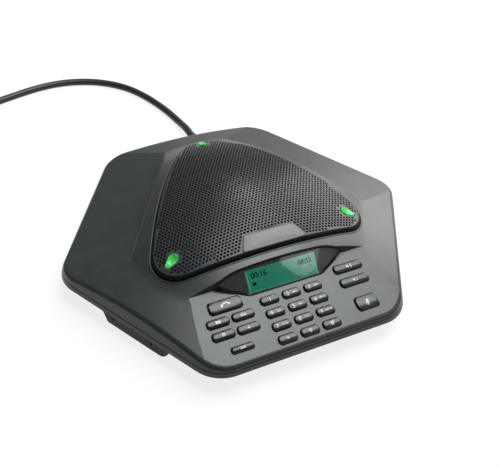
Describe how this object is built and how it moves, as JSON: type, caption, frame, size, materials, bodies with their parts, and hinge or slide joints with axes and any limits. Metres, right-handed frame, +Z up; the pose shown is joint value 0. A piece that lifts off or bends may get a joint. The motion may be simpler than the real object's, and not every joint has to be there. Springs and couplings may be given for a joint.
{
  "type": "conference telephone",
  "caption": "Six-sided table conference telephone with a domed three-pointed loudspeaker grille, a sloping keypad under a curved display, three microphone pods and a cable.",
  "frame": {"origin": "on the table under the centre of the phone, without its cable", "axes": "+Z up, the keypad faces -Y, +X to the user's right"},
  "size_m": [0.5326, 0.4571, 0.0655],
  "materials": {
    "housing": "fine satin, warm dark grey",
    "grille": "satin dark grey, perforated",
    "steel": "plated",
    "rubber": "matt black",
    "plate": "brushed, blank",
    "black_steel": "black",
    "ferrite": "dull",
    "zinc": "zinc plated",
    "cone_paper": "pressed pulp",
    "copper": "enamelled wire",
    "spider_cloth": "resin-dipped cloth",
    "lens": "clear, tinted dark",
    "dark_plastic": "black",
    "lcd": "liquid crystal cell",
    "backlight": "light guide",
    "film": "flexible film",
    "board": "green laminate",
    "light_green": "translucent green",
    "cord_rubber": "smooth black jacket",
    "tie": "black hook and loop strap",
    "plug": "clear moulded",
    "key_plastic": "glossy dark grey"
  },
  "bodies": {
    "housing": {"top_cover": "housing", "bottom_cover": "housing", "housing_screws": "steel", "rubber_feet": "rubber", "speaker_grille": "grille", "grille_gasket": "rubber", "badge_plate": "plate", "speaker_basket": "black_steel", "speaker_magnet": "ferrite", "speaker_front_plate": "zinc", "speaker_yoke": "zinc", "speaker_surround": "rubber", "speaker_spider": "spider_cloth", "speaker_screws": "steel", "display_lens": "lens", "display_frame": "dark_plastic", "display_glass": "lcd", "display_backlight": "backlight", "display_cable": "film", "keypad_mat": "rubber", "keypad_board": "board", "keypad_screws": "steel", "main_board": "board", "main_board_screws": "steel", "board_components": "dark_plastic", "line_transformer": "ferrite", "status_lights": "light_green", "status_led_boards": "board", "microphones": "zinc", "microphone_boots": "rubber", "cable_strain_relief": "cord_rubber", "cable": "cord_rubber", "cable_coil": "cord_rubber", "coil_tie": "tie", "cable_plug": "plug"},
    "cone": {"speaker_cone": "cone_paper", "voice_coil": "copper", "dust_cap": "cone_paper"},
    "digit_1_key": {"digit_1_key": "key_plastic"},
    "digit_2_key": {"digit_2_key": "key_plastic"},
    "digit_3_key": {"digit_3_key": "key_plastic"},
    "digit_4_key": {"digit_4_key": "key_plastic"},
    "digit_5_key": {"digit_5_key": "key_plastic"},
    "digit_6_key": {"digit_6_key": "key_plastic"},
    "digit_7_key": {"digit_7_key": "key_plastic"},
    "digit_8_key": {"digit_8_key": "key_plastic"},
    "digit_9_key": {"digit_9_key": "key_plastic"},
    "star_key": {"star_key": "key_plastic"},
    "digit_0_key": {"digit_0_key": "key_plastic"},
    "hash_key": {"hash_key": "key_plastic"},
    "call_key": {"call_key": "key_plastic"},
    "directory_key": {"directory_key": "key_plastic"},
    "conference_key": {"conference_key": "key_plastic"},
    "flash_key": {"flash_key": "key_plastic"},
    "program_key": {"program_key": "key_plastic"},
    "menu_key": {"menu_key": "key_plastic"},
    "volume_up_key": {"volume_up_key": "key_plastic"},
    "volume_down_key": {"volume_down_key": "key_plastic"},
    "mute_key": {"mute_key": "key_plastic"}
  },
  "joints": [
    {"name": "digit_1_press", "type": "slide", "parent": "housing", "child": "digit_1_key", "axis": [0, 0.2468, -0.9691], "range_m": [0, 0.0012], "stiffness_N_per_m": 500, "deforming": ["keypad_mat"]},
    {"name": "digit_2_press", "type": "slide", "parent": "housing", "child": "digit_2_key", "axis": [0, 0.2468, -0.9691], "range_m": [0, 0.0012], "stiffness_N_per_m": 500, "deforming": ["keypad_mat"]},
    {"name": "digit_3_press", "type": "slide", "parent": "housing", "child": "digit_3_key", "axis": [0, 0.2468, -0.9691], "range_m": [0, 0.0012], "stiffness_N_per_m": 500, "deforming": ["keypad_mat"]},
    {"name": "digit_4_press", "type": "slide", "parent": "housing", "child": "digit_4_key", "axis": [0, 0.2468, -0.9691], "range_m": [0, 0.0012], "stiffness_N_per_m": 500, "deforming": ["keypad_mat"]},
    {"name": "digit_5_press", "type": "slide", "parent": "housing", "child": "digit_5_key", "axis": [0, 0.2468, -0.9691], "range_m": [0, 0.0012], "stiffness_N_per_m": 500, "deforming": ["keypad_mat"]},
    {"name": "digit_6_press", "type": "slide", "parent": "housing", "child": "digit_6_key", "axis": [0, 0.2468, -0.9691], "range_m": [0, 0.0012], "stiffness_N_per_m": 500, "deforming": ["keypad_mat"]},
    {"name": "digit_7_press", "type": "slide", "parent": "housing", "child": "digit_7_key", "axis": [0, 0.2468, -0.9691], "range_m": [0, 0.0012], "stiffness_N_per_m": 500, "deforming": ["keypad_mat"]},
    {"name": "digit_8_press", "type": "slide", "parent": "housing", "child": "digit_8_key", "axis": [0, 0.2468, -0.9691], "range_m": [0, 0.0012], "stiffness_N_per_m": 500, "deforming": ["keypad_mat"]},
    {"name": "digit_9_press", "type": "slide", "parent": "housing", "child": "digit_9_key", "axis": [0, 0.2468, -0.9691], "range_m": [0, 0.0012], "stiffness_N_per_m": 500, "deforming": ["keypad_mat"]},
    {"name": "star_press", "type": "slide", "parent": "housing", "child": "star_key", "axis": [0, 0.2468, -0.9691], "range_m": [0, 0.0012], "stiffness_N_per_m": 500, "deforming": ["keypad_mat"]},
    {"name": "digit_0_press", "type": "slide", "parent": "housing", "child": "digit_0_key", "axis": [0, 0.2468, -0.9691], "range_m": [0, 0.0012], "stiffness_N_per_m": 500, "deforming": ["keypad_mat"]},
    {"name": "hash_press", "type": "slide", "parent": "housing", "child": "hash_key", "axis": [0, 0.2468, -0.9691], "range_m": [0, 0.0012], "stiffness_N_per_m": 500, "deforming": ["keypad_mat"]},
    {"name": "call_press", "type": "slide", "parent": "housing", "child": "call_key", "axis": [0, 0.2468, -0.9691], "range_m": [0, 0.0012], "stiffness_N_per_m": 500, "deforming": ["keypad_mat"]},
    {"name": "directory_press", "type": "slide", "parent": "housing", "child": "directory_key", "axis": [0, 0.2468, -0.9691], "range_m": [0, 0.0012], "stiffness_N_per_m": 500, "deforming": ["keypad_mat"]},
    {"name": "conference_press", "type": "slide", "parent": "housing", "child": "conference_key", "axis": [0, 0.2468, -0.9691], "range_m": [0, 0.0012], "stiffness_N_per_m": 500, "deforming": ["keypad_mat"]},
    {"name": "flash_press", "type": "slide", "parent": "housing", "child": "flash_key", "axis": [0, 0.2468, -0.9691], "range_m": [0, 0.0012], "stiffness_N_per_m": 500, "deforming": ["keypad_mat"]},
    {"name": "program_press", "type": "slide", "parent": "housing", "child": "program_key", "axis": [0, 0.2468, -0.9691], "range_m": [0, 0.0012], "stiffness_N_per_m": 500, "deforming": ["keypad_mat"]},
    {"name": "menu_press", "type": "slide", "parent": "housing", "child": "menu_key", "axis": [0, 0.2468, -0.9691], "range_m": [0, 0.0012], "stiffness_N_per_m": 500, "deforming": ["keypad_mat"]},
    {"name": "volume_up_press", "type": "slide", "parent": "housing", "child": "volume_up_key", "axis": [0, 0.2468, -0.9691], "range_m": [0, 0.0012], "stiffness_N_per_m": 500, "deforming": ["keypad_mat"]},
    {"name": "volume_down_press", "type": "slide", "parent": "housing", "child": "volume_down_key", "axis": [0, 0.2468, -0.9691], "range_m": [0, 0.0012], "stiffness_N_per_m": 500, "deforming": ["keypad_mat"]},
    {"name": "mute_press", "type": "slide", "parent": "housing", "child": "mute_key", "axis": [0, 0.2468, -0.9691], "range_m": [0, 0.0012], "stiffness_N_per_m": 500, "deforming": ["keypad_mat"]},
    {"name": "cone_stroke", "type": "slide", "parent": "housing", "child": "cone", "axis": [0, 0, 1], "range_m": [-0.001, 0.001], "stiffness_N_per_m": 1500, "deforming": ["speaker_surround", "speaker_spider"]}
  ]
}
